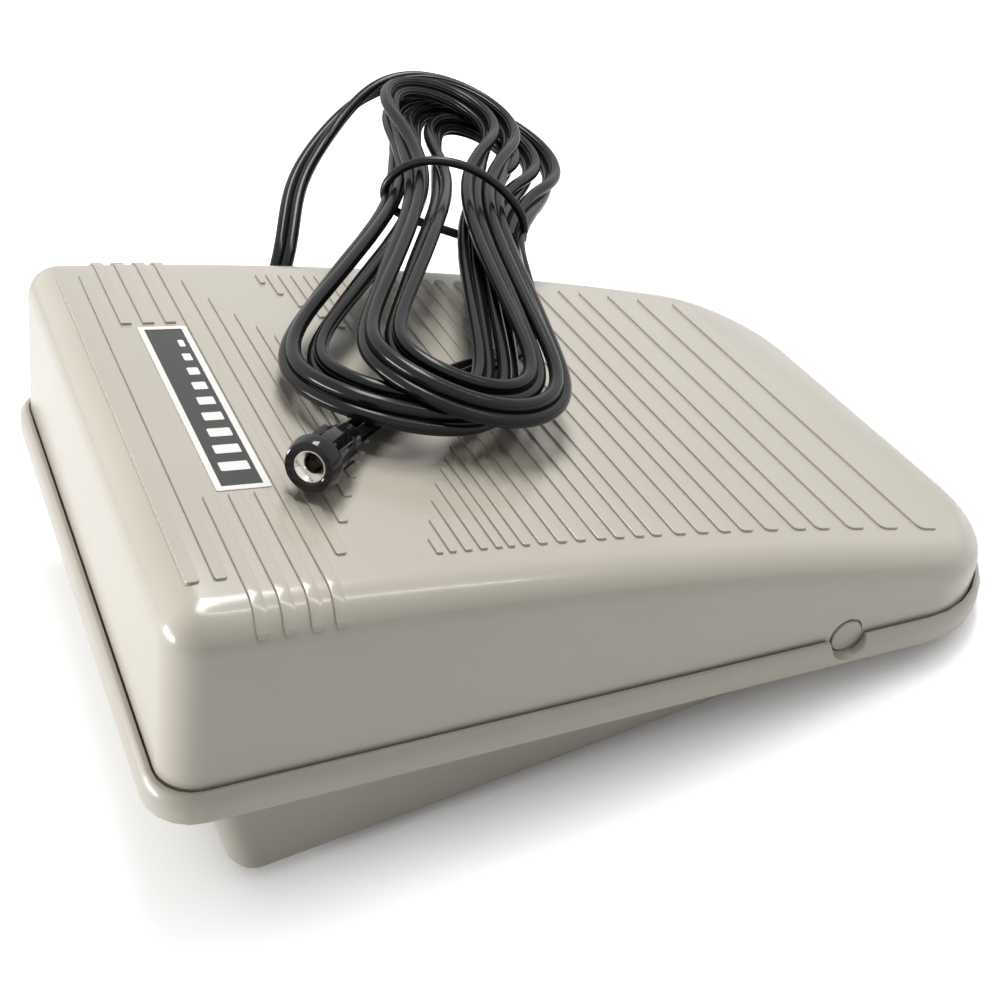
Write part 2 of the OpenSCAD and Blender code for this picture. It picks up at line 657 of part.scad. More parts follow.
// route of the plug's end, given above the treadle's top: under the near lobe,
// then up to the hank's waist
tie_line = [[-14.8, 0], [12.2, 0], [8.6, 5.15], [-7.7, 5.15]];
plug_at = [-22.5, 48.5, 69.5];
plug_dir = unit([-11.5, 11, 4.7]);
end_route = [[-10, 35, 3], [0.5, 19, 3], [8.5, 2, 3], [17.5, -9.5, 3.2], [27, -13, 8.6],
             [37.5, -14.6, 13.8]];
end_join = hank_path[0];
end_dir = [cos(hank_turn), sin(hank_turn), 0];

module strand(route, k) sweep(smooth(route, k), polygon_of(cord_d, 8), [0, 0, 1]);

module cord_tail() color(BLACK) strand(concat(tail_route,
    [tail_join + 14 * tail_dir, tail_join + 5 * tail_dir, tail_join]), 3);

module cord_hank() color(BLACK) sweep(hank_path, polygon_of(strand_d, 6), [0, 0, 1]);

module cord_end() color(BLACK) strand(concat([plug_at, plug_at - 3 * plug_dir, plug_at - 6 * plug_dir],
    [for (p = end_route) [p.x, p.y, top_z(p.y) + p.z]],
    [end_join - 5 * end_dir, end_join]), 3);

// band round the waist of the hank, close to the outline of its two layers
module cord_tie() color(BLACK)
    translate([hank_o.x, hank_o.y, hank_z(hank_o.x, hank_o.y)]) rotate([0, 0, hank_turn])
        rotate([18.7, 0, 0]) rotate([90, 0, 90])
            translate([0, 0, -1.2]) linear_extrude(2.4) difference() {
                offset(r = 3.7, $fn = 24) polygon(tie_line);
                offset(r = 2.5, $fn = 24) polygon(tie_line);
            }

module on_plug() translate(plug_at)
    rotate([0, acos(plug_dir.z), atan2(plug_dir.y, plug_dir.x)]) children();

module plug_body() color(BLACK) on_plug() difference() {
    union() {
        cylinder(d1 = 6, d2 = 8.4, h = 5);
        translate([0, 0, 4.9]) cylinder(d = 8.4, h = 8.1);
        for (a = [0:45:315]) rotate(a) translate([3.9, -0.7, 4.9]) cube([0.8, 1.4, 8.1]);
    }
    translate([0, 0, 5]) cylinder(d = 6, h = 9);
}

module plug_collar() color(BLACK) on_plug() translate([0, 0, 13]) difference() {
    union() {
        cylinder(d = 10.4, h = 2.6);
        translate([0, 0, 2.6]) cylinder(d1 = 10.4, d2 = 9.2, h = 0.6);
    }
    translate([0, 0, -1]) cylinder(d = 6, h = 6);
}

module plug_contact() color(STEEL) on_plug() difference() {
    translate([0, 0, 6.5]) cylinder(d = 6, h = 9.3);
    translate([0, 0, 7]) cylinder(d = 3, h = 9);
    translate([0, 0, 14.2]) cylinder(d1 = 3, d2 = 5.4, h = 1.61);
}

module plug_insulator() color([0.1, 0.1, 0.1]) on_plug() translate([0, 0, 7])
    cylinder(d = 3, h = 0.6);

base_tray();
rubber_feet();
pivot_pins();
spring_left();
spring_right();
stop_buffers();
circuit_board();
board_screws();
heat_sink();
triac();
film_capacitor();
choke_coil();
resistors();
terminal_block();
pot_bracket();
bracket_screws();
potentiometer();
inner_leads();
cord_clamp();
clamp_screws();
strain_relief();
treadle_cover();
rim();
rim_screws();
plate();
drive_sector();
sector_screws();
pot_spindle();
pinion();
cord_tail();
cord_hank();
cord_end();
cord_tie();
plug_body();
plug_collar();
plug_contact();
plug_insulator();
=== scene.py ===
import math

import bpy
from mathutils import Matrix, Vector


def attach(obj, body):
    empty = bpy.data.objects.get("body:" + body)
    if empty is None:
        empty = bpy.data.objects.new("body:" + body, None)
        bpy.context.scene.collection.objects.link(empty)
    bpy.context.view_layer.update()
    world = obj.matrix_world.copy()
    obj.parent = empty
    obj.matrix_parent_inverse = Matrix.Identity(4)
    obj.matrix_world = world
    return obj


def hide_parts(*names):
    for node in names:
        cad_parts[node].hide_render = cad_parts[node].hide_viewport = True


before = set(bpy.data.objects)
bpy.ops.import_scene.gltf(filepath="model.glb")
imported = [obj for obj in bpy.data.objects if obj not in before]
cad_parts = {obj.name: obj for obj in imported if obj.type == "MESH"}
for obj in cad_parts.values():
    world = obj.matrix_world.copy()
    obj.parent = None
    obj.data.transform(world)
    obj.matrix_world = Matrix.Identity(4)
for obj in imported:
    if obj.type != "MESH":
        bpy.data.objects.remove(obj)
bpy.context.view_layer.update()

# the camera's place, and which way its own axes point
lookout = {
    "place": (-0.2040, 0.1064, 0.2102),
    "right": (-0.4305, -0.9025, 0.0136),
    "up": (0.5771, -0.2636, 0.7730),
    "back": (-0.6940, 0.3406, 0.6343),
    "lens": 46.67,
    "sensor": 36,
    "nearest": 0.01,
}
bpy.ops.object.camera_add()
camera = bpy.context.object
camera.data.lens = lookout["lens"]
camera.data.sensor_width = lookout["sensor"]
camera.data.clip_start = lookout["nearest"]
turn = Matrix((lookout["right"], lookout["up"], lookout["back"])).transposed()
camera.matrix_world = Matrix.Translation(lookout["place"]) @ turn.to_4x4()
bpy.context.scene.camera = camera
print("camera placed")


def letGo():
    if bpy.context.object and bpy.context.object.mode != "OBJECT":
        bpy.ops.object.mode_set(mode="OBJECT")
    bpy.ops.object.select_all(action="DESELECT")


def takeUp(*pieces):
    letGo()
    for p in pieces:
        p.select_set(True)
    bpy.context.view_layer.objects.active = pieces[0]


def named(name):
    piece = bpy.context.object
    piece.name = name
    piece.data.name = name
    return piece


def pick(kind, test):
    # faces by their middle and normal, edges by their two ends
    piece = bpy.context.object
    bpy.ops.object.mode_set(mode="EDIT")
    bpy.ops.mesh.select_mode(type=kind)
    bpy.ops.mesh.select_all(action="DESELECT")
    bpy.ops.object.mode_set(mode="OBJECT")
    mesh = piece.data
    if kind == "FACE":
        for f in mesh.polygons:
            f.select = bool(test(f.center, f.normal))
    elif kind == "EDGE":
        for e in mesh.edges:
            e.select = bool(test(mesh.vertices[e.vertices[0]].co, mesh.vertices[e.vertices[1]].co))
    else:
        for p in mesh.vertices:
            p.select = bool(test(p.co))
    bpy.ops.object.mode_set(mode="EDIT")


def pickAll():
    bpy.ops.object.mode_set(mode="EDIT")
    bpy.ops.mesh.select_all(action="SELECT")


def done():
    bpy.ops.object.mode_set(mode="OBJECT")


def roundEdges(radius, segments):
    # the edges that are picked
    bpy.ops.mesh.bevel(offset=radius, segments=segments, profile=0.5, affect="EDGES")
    done()


def addBlock(name, place, size):
    bpy.ops.mesh.primitive_cube_add(size=1, location=place)
    piece = named(name)
    piece.scale = size
    fixPlace(piece)
    return piece


def applyAll(piece):
    takeUp(piece)
    for m in list(piece.modifiers):
        bpy.ops.object.modifier_apply(modifier=m.name)


def fixPlace(piece):
    takeUp(piece)
    bpy.ops.object.transform_apply(location=True, rotation=True, scale=True)


def joinTo(piece, others):
    takeUp(piece, *others)
    bpy.ops.object.join()


def smoothBy(piece, degrees=35):
    takeUp(piece)
    bpy.ops.object.shade_smooth_by_angle(angle=math.radians(degrees))


def near(a, b, eps=1e-5):
    return abs(a - b) < eps


# the treadle is drawn about its hinge's axis, with its length along Y, and then laid at its slope
treadleValues = {"hinge": (0, -0.044, 0.017), "slope": 9}
treadleFrame = (Matrix.Translation(treadleValues["hinge"])
                @ Matrix.Rotation(math.radians(treadleValues["slope"]), 4, "X"))

cordValues = {
    "core": 0.00148,            # radius of each of the two cores
    "apart": 0.00140,           # from the cord's middle to each core's middle
    "ridges": 6,                # fine ridges on one face of each core
    "ridgeDepth": 0.0002,
    "ridged": -0.25,            # the ridges lie where the sine round the core is under this
    "width": 0.0058,
    "gap": 0.0014,              # between the points of the line
    "tail": 0.257,              # length up to the hank
    "end": 0.106,               # length after it
    "lean": (-52, -35, -135),   # of the flat side: near lobe, between the lobes, far lobe
    "nearTurn": (-0.03, 0.03),  # where along the hank the lean starts to change, and over what
    "farTurn": (0.006, 0.034),
    "rise": (40, 60),           # points before the hank where it starts to lean, and over how many
    "fall": (6, 34),            # and where it lies flat again after the hank
    "reach": 5,                 # points to each side that a point is eased by
    "waistReach": 9,
    "waistHalf": 0.021,         # length of the waist to each side of the hank's middle
    "passes": 3,
}
hank = {
    "at": (0.055, -0.006),      # its middle, from above
    "turn": -26.6,
    "lift": 0.0086,             # of its lower layer above the cover's top
    "slant": 0.16,              # rise from there towards the far side
    "waist": 0.01275,           # half its width there
    "flankRadius": 0.04,
    "nearLobe": (-0.067, 0.025),    # place of its middle along the hank, and its radius
    "farLobe": (0.040, 0.022),
    "stations": 24,             # points to a turn
    "step": 0.0051,             # from one turn inwards to the next
    "layer": 0.0055,            # from the lower layer to the upper one
    "skew": (-5, 5),            # of the lower layer and the upper one
    "first": -6, "climb": 54, "last": 96,   # stations: first, where it climbs a layer, last
    "sink": 0.004,              # of the near lobe's end towards the cover
    "sinkFrom": (-0.032, 0.022),    # where along the hank it starts, and over what
    "endLine": (-0.094, 0.014),     # a point above the cord's end, where nothing sinks
    "endAcross": (0.481, 0.877),    # the direction across it
    "endClear": (0.005, 0.022),
    "tailRise": 0.12,
    "tailLead": (0.014, 0.005),     # straight stretch where the tail leaves the hank
    "endLead": 0.005,
}
tailRoute = [
    (0.045, 0.046, 0.011), (0.052, 0.046, 0.011), (0.060, 0.046, 0.011), (0.070, 0.046, 0.011),
    (0.079, 0.046, 0.011), (0.082, 0.046, 0.011), (0.092, 0.047, 0.0085), (0.102, 0.051, 0.004),
    (0.109, 0.060, 0.0026), (0.104, 0.071, 0.0026), (0.092, 0.075, 0.003), (0.081, 0.070, 0.005),
    (0.075, 0.061, 0.011), (0.0715, 0.051, 0.022), (0.0705, 0.042, 0.034), (0.072, 0.034, 0.046),
    (0.078, 0.028, 0.054), (0.087, 0.024, 0.0585), (0.098, 0.018, 0.062), (0.107, 0.008, 0.0665),
    (0.113, -0.003, 0.0725),
]
endRoute = [        # heights above the cover's top
    (-0.010, 0.035, 0.003), (0.0005, 0.019, 0.003), (0.0085, 0.002, 0.003),
    (0.0175, -0.0095, 0.0032), (0.027, -0.013, 0.0086), (0.0375, -0.0146, 0.0138),
]
plugAt = Vector((-0.0225, 0.0485, 0.0695))
plugDir = Vector((-11.5, 11, 4.7)).normalized()
plugLead = (0.006, 0.003)
coverTop = (0.0522, 0.2915, -0.58)      # height of the cover's top: at Y 0, by Y, by Y squared


def topHeight(y):
    return coverTop[0] + coverTop[1] * y + coverTop[2] * y * y


def hankBase(x, y):
    return topHeight(y) + hank["lift"] + hank["slant"] * max(0, x)


def ease(t):
    c = min(1, max(0, t))
    return c * c * (3 - 2 * c)


def flank(lobe):
    # degrees that the hollow flank takes between the waist and a lobe
    h = hank["waist"] + hank["flankRadius"]
    return math.degrees(math.asin((lobe[1] + hank["flankRadius"]) / math.hypot(lobe[0], h))
                        - math.atan(h / abs(lobe[0])))


def station(j):
    # direction of the outline at point j: far lobe, waist, near lobe, waist and far lobe again
    f, n = flank(hank["farLobe"]), flank(hank["nearLobe"])
    farStep, nearStep = (90 + f) / 4, (90 + n) / 4
    if j <= 4:
        return farStep * j
    if j <= 6:
        return 90 + f * (6 - j)
    if j == 7:
        return 90 - n
    if j <= 16:
        return 90 - n + nearStep * (j - 8)
    if j == 17:
        return 270 + n
    if j <= 19:
        return 270 - f * (j - 18)
    return 270 - f + farStep * (j - 20)


def outline(j, inset):
    a = math.radians(station(j))
    nx, ny = math.cos(a), math.sin(a)
    if 4 < j < 8 or 16 < j < 20:
        side = 1 if j < 12 else -1
        r = hank["flankRadius"] + inset
        return -r * nx, side * (hank["waist"] + hank["flankRadius"]) - r * ny
    lobe = hank["farLobe"] if j <= 4 or j >= 20 else hank["nearLobe"]
    return lobe[0] + (lobe[1] - inset) * nx, (lobe[1] - inset) * ny


def turned(x, y, degrees):
    c, s = math.cos(math.radians(degrees)), math.sin(math.radians(degrees))
    return x * c - y * s, x * s + y * c


def hankPoint(i):
    # the lower layer winds inwards, climbs, and winds outwards again above
    climb, count = hank["climb"], hank["stations"]
    inward = i / count if i <= climb else (2 * climb - i) / count
    px, py = outline((i + count) % count, hank["step"] * inward)
    skew = 0 if abs(px) < 1e-9 else hank["skew"][0 if i <= climb else 1]
    qx, qy = turned(px, py, skew)
    x, y = turned(qx, qy, hank["turn"])
    x, y = x + hank["at"][0], y + hank["at"][1]
    up = 0 if i < climb else 0.5 if i == climb else 1
    (start, span), (clear, fade) = hank["sinkFrom"], hank["endClear"]
    (lineX, lineY), (acrossX, acrossY) = hank["endLine"], hank["endAcross"]
    fromEnd = abs((qx - lineX) * acrossX + (qy - lineY) * acrossY)
    sink = hank["sink"] * ease((start - qx) / span) * ease((fromEnd - clear) / fade)
    return Vector((x, y, hankBase(x, y) - sink + hank["layer"] * up))


def smoothRoute(route, steps):
    # a smooth line through the route's points
    r = [Vector(p) for p in route]
    out = []
    for i in range(len(r) - 1):
        a, b, c, e = r[max(i - 1, 0)], r[i], r[i + 1], r[min(i + 2, len(r) - 1)]
        for j in range(steps):
            t = j / steps
            out.append(b + t * (c - a) / 2 + t * t * (a - 2.5 * b + 2 * c - e / 2)
                       + t * t * t * (1.5 * (b - c) + (e - a) / 2))
    return out + [r[-1]]


def evenly(points, gap):
    # points at equal steps along the line, with no very short last step
    out, left = [points[0]], gap
    for a, b in zip(points, points[1:]):
        span = (b - a).length
        at = left
        while at <= span:
            out.append(a.lerp(b, at / span))
            at += gap
        left = at - span
    if (out[-1] - points[-1]).length > gap * 0.4:
        out.append(points[-1])
    return out


hankRoute = [hankPoint(i) for i in range(hank["first"], hank["last"] + 1)]
tailTurn = math.radians(hank["turn"] + hank["skew"][1])
tailDir = Vector((-math.sin(tailTurn), math.cos(tailTurn), hank["tailRise"])).normalized()
endDir = Vector((*turned(1, 0, hank["turn"]), 0))
tailJoin, endJoin = hankRoute[-1], hankRoute[0]
wholeRoute = (
    [Vector(p) for p in tailRoute] + [tailJoin + d * tailDir for d in hank["tailLead"]]
    + hankRoute[::-1] + [endJoin - hank["endLead"] * endDir]
    + [Vector((x, y, topHeight(y) + z)) for x, y, z in endRoute[::-1]]
    + [plugAt - d * plugDir for d in plugLead] + [plugAt]
)


def alongHank(p):
    return turned(p.x - hank["at"][0], p.y - hank["at"][1], -hank["turn"])[0]


def eased(line, passes):
    # each point moves to the middle of its neighbours, further round at the waist; the ends stay
    v, last = cordValues, len(line) - 1
    for _ in range(passes):
        moved = []
        for i, p in enumerate(line):
            atWaist = tailPoints < i < endPoints and abs(alongHank(p)) < v["waistHalf"]
            r = min(v["waistReach"] if atWaist else v["reach"], i, last - i)
            moved.append(sum(line[i - r:i + r + 1], Vector()) / (2 * r + 1))
        line = moved
    return line


cordLine = evenly(smoothRoute(wholeRoute, 12), cordValues["gap"])
tailPoints = round(cordValues["tail"] / cordValues["gap"])
endPoints = len(cordLine) - round(cordValues["end"] / cordValues["gap"])
cordLine = eased(cordLine, cordValues["passes"])


def cordLean(i):
    # lying flat in the tail and the end, turning its flat side to each lobe's outside
    v = cordValues
    nearLean, midLean, farLean = v["lean"]
    along = alongHank(cordLine[i])
    lean = (midLean + (nearLean - midLean) * ease((v["nearTurn"][0] - along) / v["nearTurn"][1])
            + (farLean - midLean) * ease((along - v["farTurn"][0]) / v["farTurn"][1]))
    rise = ease((i - tailPoints + v["rise"][0]) / v["rise"][1])
    fall = ease((endPoints + v["fall"][0] - i) / v["fall"][1])
    return math.radians(lean) * rise * fall


def cordSection():
    # two cores side by side, smooth on one face and finely ridged on the other; both are open
    # on their -X side, so the second core keeps a narrow groove along the cord's outer edge
    v = cordValues
    meet = math.acos(v["apart"] / v["core"])
    sweep, steps = 2 * math.pi - 2 * meet, 4 * v["ridges"]
    points = []
    for side, first in ((1, meet - math.pi), (-1, meet + math.pi)):
        for k in range(steps + 1):
            a = first + sweep * k / steps
            sunk = math.sin(a) < v["ridged"] and k % 2
            r = v["core"] - (v["ridgeDepth"] if sunk else 0)
            points.append((side * v["apart"] + r * math.cos(a), r * math.sin(a)))
    return points


def makeSweep(name, line, section, leanAt, closed=False, twist="Z_UP"):
    # a curve along the line, its section a closed flat curve, made into a mesh
    flat = bpy.data.curves.new(name + "Section", "CURVE")
    flat.dimensions = "2D"
    ring = flat.splines.new("POLY")
    ring.points.add(len(section) - 1)
    for p, (x, y) in zip(ring.points, section):
        p.co = (x, y, 0, 1)
    ring.use_cyclic_u = True
    sectionPiece = bpy.data.objects.new(name + "Section", flat)
    bpy.context.scene.collection.objects.link(sectionPiece)
    data = bpy.data.curves.new(name, "CURVE")
    data.dimensions = "3D"
    data.twist_mode = twist
    run = data.splines.new("POLY")
    run.points.add(len(line) - 1)
    for i, (p, c) in enumerate(zip(run.points, line)):
        p.co = (*c, 1)
        p.tilt = leanAt(i)
    run.use_cyclic_u = closed
    data.bevel_mode = "OBJECT"
    data.bevel_object = sectionPiece
    data.use_fill_caps = not closed
    piece = bpy.data.objects.new(name, data)
    bpy.context.scene.collection.objects.link(piece)
    takeUp(piece)
    bpy.ops.object.convert(target="MESH")
    piece = named(name)
    bpy.data.objects.remove(sectionPiece)
    pickAll()
    bpy.ops.mesh.remove_doubles(threshold=1e-6)
    bpy.ops.mesh.normals_make_consistent(inside=False)
    done()
    return piece


pedalCord = makeSweep("pedalCord", cordLine, cordSection(), cordLean)
smoothBy(pedalCord, 60)
print("cord made,", len(cordLine), "points")

tieValues = {
    "corners": [        # middles of its rounded corners, across the hank and up
        (-0.0148, -0.0003), (0.0122, -0.0003), (0.0086, 0.00515), (0.0006, 0.0072),
        (-0.0077, 0.00515)],
    "radius": 0.0052,   # of each corner, before the easing
    "arcSteps": 8,
    "gap": 0.0012,      # between its points
    "passes": 3,
    "reach": 3,         # points to each side that a point is eased by
    "wire": 0.00105,
    "sides": 12,
    "slope": 18.7,
}


def makeTie():
    v = tieValues
    corners = [Vector((*p, 0)) for p in v["corners"]]
    ring = []
    for i, c in enumerate(corners):
        before = (c - corners[i - 1]).normalized()
        after = (corners[(i + 1) % len(corners)] - c).normalized()
        a0 = math.atan2(-before.x, before.y)
        a1 = math.atan2(-after.x, after.y)
        while a1 < a0:
            a1 += 2 * math.pi
        for k in range(v["arcSteps"] + 1):
            a = a0 + (a1 - a0) * k / v["arcSteps"]
            ring.append(c + v["radius"] * Vector((math.cos(a), math.sin(a), 0)))
    ring = evenly(ring + [ring[0]], v["gap"])[:-1]
    around, count = range(-v["reach"], v["reach"] + 1), len(ring)
    for _ in range(v["passes"]):
        ring = [sum((ring[(i + k) % count] for k in around), Vector()) / len(around)
                for i in range(count)]
    place = (Matrix.Translation((*hank["at"], hankBase(*hank["at"])))
             @ Matrix.Rotation(math.radians(hank["turn"]), 4, "Z")
             @ Matrix.Rotation(math.radians(v["slope"]), 4, "X")
             @ Matrix.Rotation(math.radians(90), 4, "Z") @ Matrix.Rotation(math.radians(90), 4, "X"))
    wire = []
    for k in range(v["sides"]):
        a = 2 * math.pi * k / v["sides"]
        wire.append((v["wire"] * math.cos(a), v["wire"] * math.sin(a)))
    return makeSweep("tieBand", [place @ p for p in ring], wire, lambda i: 0, closed=True,
                     twist="MINIMUM")


tieBand = makeTie()
smoothBy(tieBand, 50)
print("tie made")


class Nodes:
    # a short way to lay out a material's nodes
    def __init__(self, name):
        self.mat = bpy.data.materials.new(name)
        self.mat.use_nodes = True
        self.tree = self.mat.node_tree
        self.shader = self.tree.nodes["Principled BSDF"]
        self.place = self.add("ShaderNodeTexCoord").outputs["Object"]

    def add(self, kind, **settings):
        node = self.tree.nodes.new(kind)
        for key, value in settings.items():
            setattr(node, key, value)
        return node

    def join(self, a, b):
        self.tree.links.new(a, b)

    def noise(self, scale, detail=4, rough=0.55, stretch=(1, 1, 1)):
        mapping = self.add("ShaderNodeMapping")
        mapping.inputs["Scale"].default_value = stretch
        self.join(self.place, mapping.inputs["Vector"])
        node = self.add("ShaderNodeTexNoise")
        node.inputs["Scale"].default_value = scale
        node.inputs["Detail"].default_value = detail
        node.inputs["Roughness"].default_value = rough
        self.join(mapping.outputs["Vector"], node.inputs["Vector"])
        return node.outputs["Fac"]

    def ramp(self, source, stops):
        # two stops, each a place and a colour
        node = self.add("ShaderNodeValToRGB")
        for p, (at, colour) in zip(node.color_ramp.elements, stops):
            p.position = at
            p.color = (*colour, 1)
        self.join(source, node.inputs["Fac"])
        return node.outputs["Color"]

    def spread(self, source, low, high, out0, out1):
        node = self.add("ShaderNodeMapRange")
        for key, value in (("From Min", low), ("From Max", high), ("To Min", out0), ("To Max", out1)):
            node.inputs[key].default_value = value
        self.join(source, node.inputs["Value"])
        return node.outputs["Result"]

    def bump(self, source, depth, strength, under=None):
        node = self.add("ShaderNodeBump")
        node.inputs["Strength"].default_value = strength
        node.inputs["Distance"].default_value = depth
        self.join(source, node.inputs["Height"])
        if under:
            self.join(under, node.inputs["Normal"])
        return node.outputs["Normal"]

    def give(self, sockets):
        for key, value in sockets.items():
            socket = self.shader.inputs[key]
            if isinstance(value, bpy.types.NodeSocket):
                self.join(value, socket)
            else:
                socket.default_value = value
        return self.mat


plasticValues = {
    "mottleScale": 38, "grainScale": 1500, "waveScale": 90, "wearScale": 45,
    "grainStrength": 0.3, "waveStrength": 0.1, "wear": 0.02, "coatRoughness": 0.12, "ior": 1.49,
}
metalValues = {
    "toneScale": 60, "dark": 0.88, "light": 1.06, "grain": 0.00002, "grainStrength": 0.3,
    "smoother": 0.06, "rougher": 0.1,
}


def shade(c, k):
    return tuple(x * k for x in c)


def plasticFinish(name, colour, rough=0.3, grain=0.00003, mottle=0.04, coat=0.0, shine=0.5):
    v, n = plasticValues, Nodes(name)
    darker, lighter = shade(colour, 1 - mottle), shade(colour, 1 + mottle)
    tone = n.ramp(n.noise(v["mottleScale"], 5, 0.6), [(0.3, darker), (0.7, lighter)])
    fine = n.noise(v["grainScale"], 3)
    wave = n.bump(n.noise(v["waveScale"], 3), grain, v["waveStrength"])
    wear = n.spread(n.noise(v["wearScale"], 3), 0.3, 0.7, rough - v["wear"], rough + v["wear"])
    return n.give({
        "Base Color": tone, "Roughness": wear, "Normal": n.bump(fine, grain, v["grainStrength"], wave),
        "Coat Weight": coat, "Coat Roughness": v["coatRoughness"], "IOR": v["ior"],
        "Specular IOR Level": shine})


def metalFinish(name, colour, rough=0.22, stretch=(1, 1, 1), scale=400):
    v, n = metalValues, Nodes(name)
    darker, lighter = shade(colour, v["dark"]), shade(colour, v["light"])
    tone = n.ramp(n.noise(v["toneScale"], 4), [(0.25, darker), (0.75, lighter)])
    lines = n.noise(scale, 5, 0.7, stretch)
    return n.give({
        "Base Color": tone, "Metallic": 1.0, "Normal": n.bump(lines, v["grain"], v["grainStrength"]),
        "Roughness": n.spread(lines, 0.3, 0.7, rough - v["smoother"], rough + v["rougher"])})


finishes = {
    "cover": plasticFinish("coverPlastic", (0.50, 0.465, 0.395), 0.25, 0.00002, 0.02, 0.35),
    "belt": plasticFinish("beltPlastic", (0.47, 0.437, 0.372), 0.32, 0.00003, 0.03, 0.2),
    "tray": plasticFinish("trayPlastic", (0.40, 0.375, 0.325), 0.42, 0.00005, 0.04),
    "cord": plasticFinish("cordPvc", (0.006, 0.006, 0.0065), 0.2, 0.00001, 0.2, 0.0, 0.3),
    "tie": plasticFinish("tiePvc", (0.006, 0.006, 0.0065), 0.3, 0.00001, 0.2, 0.0, 0.3),
    "boot": plasticFinish("bootRubber", (0.018, 0.018, 0.019), 0.46, 0.00006, 0.2),
    "plugBlack": plasticFinish("plugBlack", (0.004, 0.004, 0.0045), 0.1, 0.000003, 0.15, 0.0, 0.42),
    "rubber": plasticFinish("footRubber", (0.03, 0.03, 0.031), 0.62, 0.00012, 0.25),
    "plateWhite": plasticFinish("plateWhite", (0.83, 0.82, 0.79), 0.30, 0.00002, 0.02, 0.3),
    "plateBlack": plasticFinish("plateBlack", (0.016, 0.016, 0.018), 0.24, 0.00002, 0.1, 0.3),
    "orange": plasticFinish("capacitorOrange", (0.50, 0.10, 0.02), 0.28, 0.00003, 0.08, 0.3),
    "green": plasticFinish("terminalGreen", (0.035, 0.16, 0.07), 0.4, 0.00004, 0.08),
    "acetal": plasticFinish("gearAcetal", (0.78, 0.77, 0.72), 0.36, 0.00003, 0.03),
    "board": plasticFinish("boardPaper", (0.33, 0.20, 0.07), 0.5, 0.00006, 0.12),
    "resistor": plasticFinish("resistorBody", (0.26, 0.39, 0.46), 0.35, 0.00003, 0.08),
    "lead": plasticFinish("leadPvc", (0.34, 0.02, 0.015), 0.35, 0.00003, 0.1),
    "pot": plasticFinish("potCase", (0.07, 0.08, 0.10), 0.4, 0.00004, 0.1),
    "nickel": metalFinish("nickel", (0.80, 0.77, 0.72), 0.14),
    "steel": metalFinish("steel", (0.62, 0.62, 0.63), 0.3),
    "spring": metalFinish("springSteel", (0.50, 0.50, 0.51), 0.25, (1, 1, 8)),
    "aluminium": metalFinish("aluminium", (0.80, 0.80, 0.81), 0.32, (1, 1, 12)),
    "copper": metalFinish("copperWire", (0.72, 0.33, 0.16), 0.25, (1, 1, 20), 900),
}


def dress(piece, *names):
    piece.data.materials.clear()
    for name in names:
        piece.data.materials.append(finishes[name])


coverValues = {
    "halfWidth": 0.0624, "heel": -0.0539, "toe": 0.1419, "foot": -0.0043, "height": 0.0355,
    "heelRadius": 0.0309, "heelSegments": 18,
    "edgeRadius": 0.007, "edgeSegments": 8,
    "crownAt": 0.178, "crownRadius": 1.0,       # the highest line of the long crown
    "slices": 40,                               # cuts along the length, for the crown
    "wall": 0.0023,
    "lean": 0.0008,                             # how far the skirt spreads at its foot
}
ribValues = {
    "rows": [135.5, 131, 127, 122.5, 118, 114, 110, 106.5, 103, 100, 97.5, 95.5,
             93, 90.5, 87.5, 84.5, 81.5, 79, 76, 72.5, 68.5, 64.5, 60, 56, 51.5,
             47.5, 42, 36.5, 31, 25.5, 19, 11.5, 5, -4.5, -14.5, -26.5],    # mm from the hinge
    "share": 0.52,                  # of the space from row to row that a rib takes
    "height": 0.0005, "half": 0.052, "shortest": 0.0015,
    "round": 0.00014, "corner": 0.3,
    "bandCentre": (0.101, -0.0266), "bandRadii": (0.131, 0.146),    # the bare band between circles
    "wrapRows": [2, 3, 4, 5],       # these run over the rounded edges
    "wrapFrom": 0.0012, "wrapAngle": 68, "wrapSteps": 10,
    "wrapThin": (0.9, 0.6), "wrapSink": 0.975,
}
plateValues = {
    "from": 0.1152, "to": 0.1254, "half": 0.029, "thick": 0.0008, "proud": 0.0002,
    "border": 0.0012, "play": 0.0003, "fieldDepth": 0.00008, "corner": 0.0004,
    "ribGap": 0.0012,               # bare ground round the plate, and behind it
    "ribGapBehind": 0.003,
    "bars": 9, "barFirst": 0.0218, "barPitch": 0.00545, "barFoot": -0.0029, "barWidth": 0.0027,
    "barTall": 0.0012, "barGrows": 0.00052, "barThick": 0.00006, "barCorner": 0.0003,
    "barSunk": 0.00007,             # its middle under the border's face
}
pinValues = {
    "recess": (0.0042, 0.0620, 0.0675),     # radius, and where it starts and ends from the middle
    "hole": (0.00255, 0.0590, 0.0630),
    "skirt": 0.0632,
    "proud": 0.15,                          # share of the head's stand that is left
}
bossValues = {
    "across": 0.007,
    "drive": [(-0.011, 0.052), (0.007, 0.052)], "driveLow": 0.022, "driveInto": 0.0012,
    "heel": [(-0.03, -0.0505), (0, -0.0505), (0.03, -0.0505)], "heelTall": 0.0058,
    "wall": 0.32, "bore": 0.004,
}


def coverHeight(u):
    v = coverValues
    return v["height"] - (v["crownAt"] - u) ** 2 / (2 * v["crownRadius"])


def onTop(u):
    # a place on the crown, level with it
    v = coverValues
    return Matrix.Translation((0, u, coverHeight(u))) @ Matrix.Rotation(
        math.atan((v["crownAt"] - u) / v["crownRadius"]), 4, "X")


